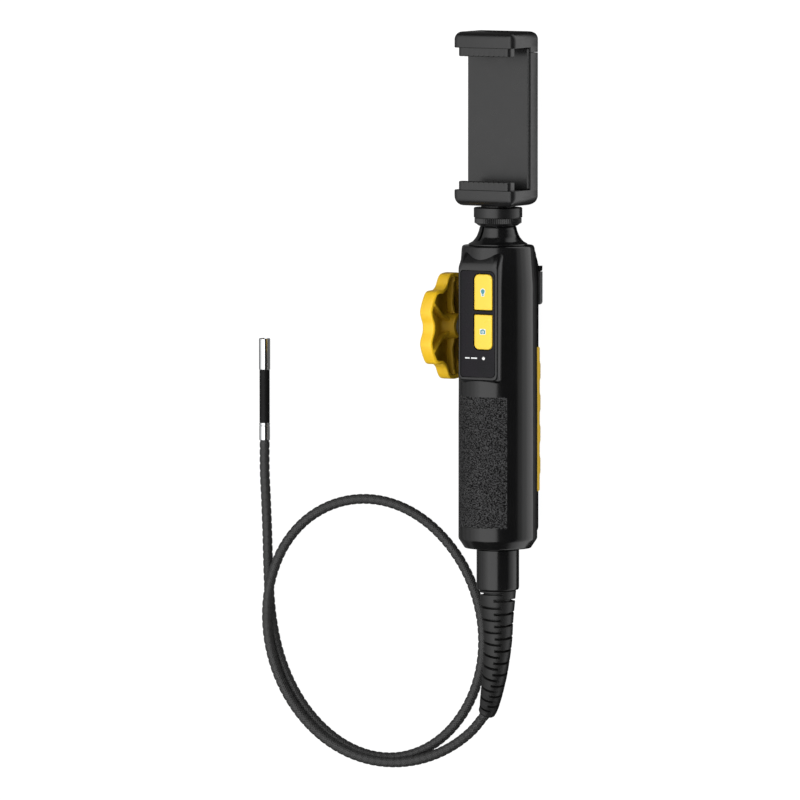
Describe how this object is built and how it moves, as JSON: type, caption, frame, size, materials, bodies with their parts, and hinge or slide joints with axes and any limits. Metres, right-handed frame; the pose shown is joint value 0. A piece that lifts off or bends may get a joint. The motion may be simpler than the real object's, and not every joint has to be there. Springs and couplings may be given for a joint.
{
  "type": "inspection camera",
  "caption": "Hand-held inspection camera: round handle with steering knob, control panel and sprung phone clamp, on a flexible tube with a bending camera tip.",
  "frame": {"origin": "centre of the underside of the box round the tool without its free tube; the tool lies on its back", "axes": "+Y along the handle towards the phone clamp, +Z out of the button panel, -X towards the steering knob"},
  "size_m": [0.1819, 0.3971, 0.0537],
  "materials": {
    "shell_plastic": "satin black moulded ABS with fine spark texture",
    "yellow_rubber": "satin yellow soft-touch elastomer",
    "yellow_plastic": "satin yellow moulded ABS",
    "button_yellow": "semi-gloss yellow keycap",
    "panel_gloss": "polished black control plate",
    "black_rubber": "matt black rubber",
    "clamp_plastic": "fine textured black nylon",
    "steel": "bright steel",
    "chrome": "polished chrome",
    "brass": "turned brass",
    "circuit_board": "green solder mask",
    "dark_plastic": "dark grey moulded plastic",
    "bend_links": "steel link bodies under a black rubber sleeve",
    "tube_braid": "black corrugated braided sleeve",
    "battery_wrap": "shrink-wrapped cell",
    "light_diffuser": "clear white light pipe",
    "lens_glass": "clear cover glass"
  },
  "bodies": {
    "root": {"front_shell": "shell_plastic", "rear_shell": "shell_plastic", "panel_bezel": "shell_plastic", "neck_mount": "shell_plastic", "bottom_collar": "shell_plastic", "finger_grip": "yellow_rubber", "panel_cover": "panel_gloss", "clamp_washer": "black_rubber", "collar_seal": "black_rubber", "strain_relief": "black_rubber", "signal_cable": "black_rubber", "phone_stud": "steel", "drum_bracket": "steel", "pull_wire_a": "steel", "pull_wire_b": "steel", "cover_hinge_pin": "steel", "tube_anchor": "steel", "charge_port": "steel", "shell_screw_1": "steel", "shell_screw_2": "steel", "shell_screw_3": "steel", "shell_screw_4": "steel", "tip_base_ring": "chrome", "shaft_bush": "brass", "main_board": "circuit_board", "charge_board": "circuit_board", "light_switch": "dark_plastic", "photo_switch": "dark_plastic", "insertion_tube": "tube_braid", "battery": "battery_wrap", "status_light_pipe": "light_diffuser"},
    "knob": {"knob": "yellow_plastic", "knob_cap": "yellow_plastic", "knob_screw": "steel", "knob_shaft": "steel", "steering_drum": "dark_plastic"},
    "light_button": {"light_button": "button_yellow"},
    "photo_button": {"photo_button": "button_yellow"},
    "port_cover": {"port_cover": "black_rubber"},
    "lock_ring": {"lock_ring": "clamp_plastic"},
    "clamp": {"clamp_frame": "clamp_plastic", "clamp_insert": "brass", "clamp_back_plate": "clamp_plastic", "clamp_lower_pad": "black_rubber", "jaw_spring": "steel"},
    "jaw": {"clamp_upper_jaw": "clamp_plastic", "clamp_upper_pad": "black_rubber", "guide_rod_left": "steel", "guide_rod_right": "steel"},
    "tip_1": {"bend_link_1": "bend_links"},
    "tip_2": {"bend_link_2": "bend_links"},
    "tip_3": {"bend_link_3": "bend_links"},
    "tip_4": {"bend_link_4": "bend_links"},
    "tip_5": {"bend_link_5": "bend_links"},
    "tip_6": {"camera_head": "chrome", "camera_module": "dark_plastic", "led_board": "light_diffuser", "lens_window": "lens_glass"}
  },
  "joints": [
    {"name": "knob_turn", "type": "hinge", "parent": "root", "child": "knob", "pos_m": [-0.023, -0.00885, 0.027], "axis": [1, 0, 0], "range_deg": [-90, 90]},
    {"name": "light_button_press", "type": "slide", "parent": "root", "child": "light_button", "axis": [0, 0, -1], "range_m": [0, 0.0007], "stiffness_N_per_m": 900, "springref_m": -0.0003},
    {"name": "photo_button_press", "type": "slide", "parent": "root", "child": "photo_button", "axis": [0, 0, -1], "range_m": [0, 0.0007], "stiffness_N_per_m": 900, "springref_m": -0.0003},
    {"name": "port_cover_open", "type": "hinge", "parent": "root", "child": "port_cover", "pos_m": [0.006, 0.02145, 0.0016], "axis": [1, 0, 0], "range_deg": [0, 100]},
    {"name": "lock_ring_turn", "type": "hinge", "parent": "root", "child": "lock_ring", "pos_m": [0.006, 0.04915, 0.027], "axis": [0, 1, 0], "continuous": true},
    {"name": "clamp_swivel", "type": "hinge", "parent": "root", "child": "clamp", "pos_m": [0.006, 0.06415, 0.027], "axis": [0, 1, 0], "range_deg": [-90, 90]},
    {"name": "jaw_slide", "type": "slide", "parent": "clamp", "child": "jaw", "axis": [0, 1, 0], "range_m": [0, 0.022], "stiffness_N_per_m": 180, "springref_m": -0.012, "deforming": ["jaw_spring"]},
    {"name": "tip_bend_1", "type": "hinge", "parent": "root", "child": "tip_1", "pos_m": [-0.152, -0.06458, 0.00305], "axis": [0, 0, 1], "range_deg": [-30, 30]},
    {"name": "tip_bend_2", "type": "hinge", "parent": "tip_1", "child": "tip_2", "pos_m": [-0.152, -0.05985, 0.00305], "axis": [0, 0, 1], "range_deg": [-30, 30]},
    {"name": "tip_bend_3", "type": "hinge", "parent": "tip_2", "child": "tip_3", "pos_m": [-0.152, -0.05512, 0.00305], "axis": [0, 0, 1], "range_deg": [-30, 30]},
    {"name": "tip_bend_4", "type": "hinge", "parent": "tip_3", "child": "tip_4", "pos_m": [-0.152, -0.05038, 0.00305], "axis": [0, 0, 1], "range_deg": [-30, 30]},
    {"name": "tip_bend_5", "type": "hinge", "parent": "tip_4", "child": "tip_5", "pos_m": [-0.152, -0.04565, 0.00305], "axis": [0, 0, 1], "range_deg": [-30, 30]},
    {"name": "tip_bend_6", "type": "hinge", "parent": "tip_5", "child": "tip_6", "pos_m": [-0.152, -0.04092, 0.00305], "axis": [0, 0, 1], "range_deg": [-30, 30]}
  ],
  "couplings": [
    {"joint": "tip_bend_1", "follows": "knob_turn", "ratio": -0.3333},
    {"joint": "tip_bend_2", "follows": "knob_turn", "ratio": -0.3333},
    {"joint": "tip_bend_3", "follows": "knob_turn", "ratio": -0.3333},
    {"joint": "tip_bend_4", "follows": "knob_turn", "ratio": -0.3333},
    {"joint": "tip_bend_5", "follows": "knob_turn", "ratio": -0.3333},
    {"joint": "tip_bend_6", "follows": "knob_turn", "ratio": -0.3333}
  ]
}
